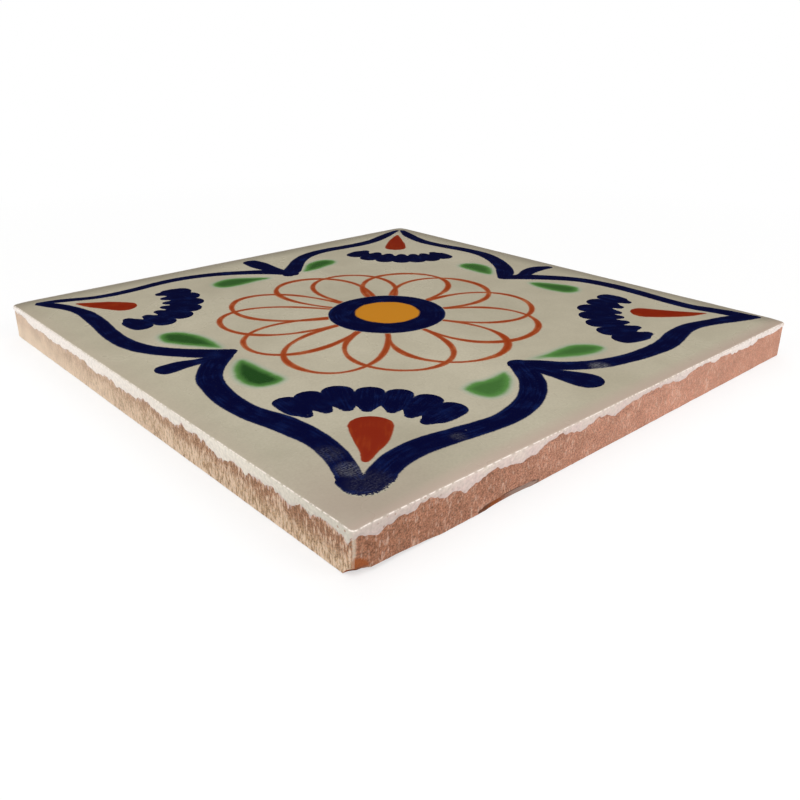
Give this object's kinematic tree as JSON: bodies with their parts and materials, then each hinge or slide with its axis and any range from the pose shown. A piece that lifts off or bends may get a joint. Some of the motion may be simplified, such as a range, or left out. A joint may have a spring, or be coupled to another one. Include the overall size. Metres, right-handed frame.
{
  "type": "talavera wall tile",
  "caption": "Square hand painted glazed clay wall tile, laid on a flat bed as a wall or counter facing.",
  "frame": {"origin": "middle of the flat underside, at the centre of the square", "axes": "+Z out of the glazed face, +X and +Y along the sides, with the broken foot at the -X, -Y corner"},
  "size_m": [0.105, 0.105, 0.007],
  "materials": {
    "glazed_clay": "warm grey-beige semi-gloss glaze on red-brown earthenware, painted in cobalt, iron red, green and yellow"
  },
  "bodies": {
    "root": {"tile": "glazed_clay"}
  },
  "joints": []
}
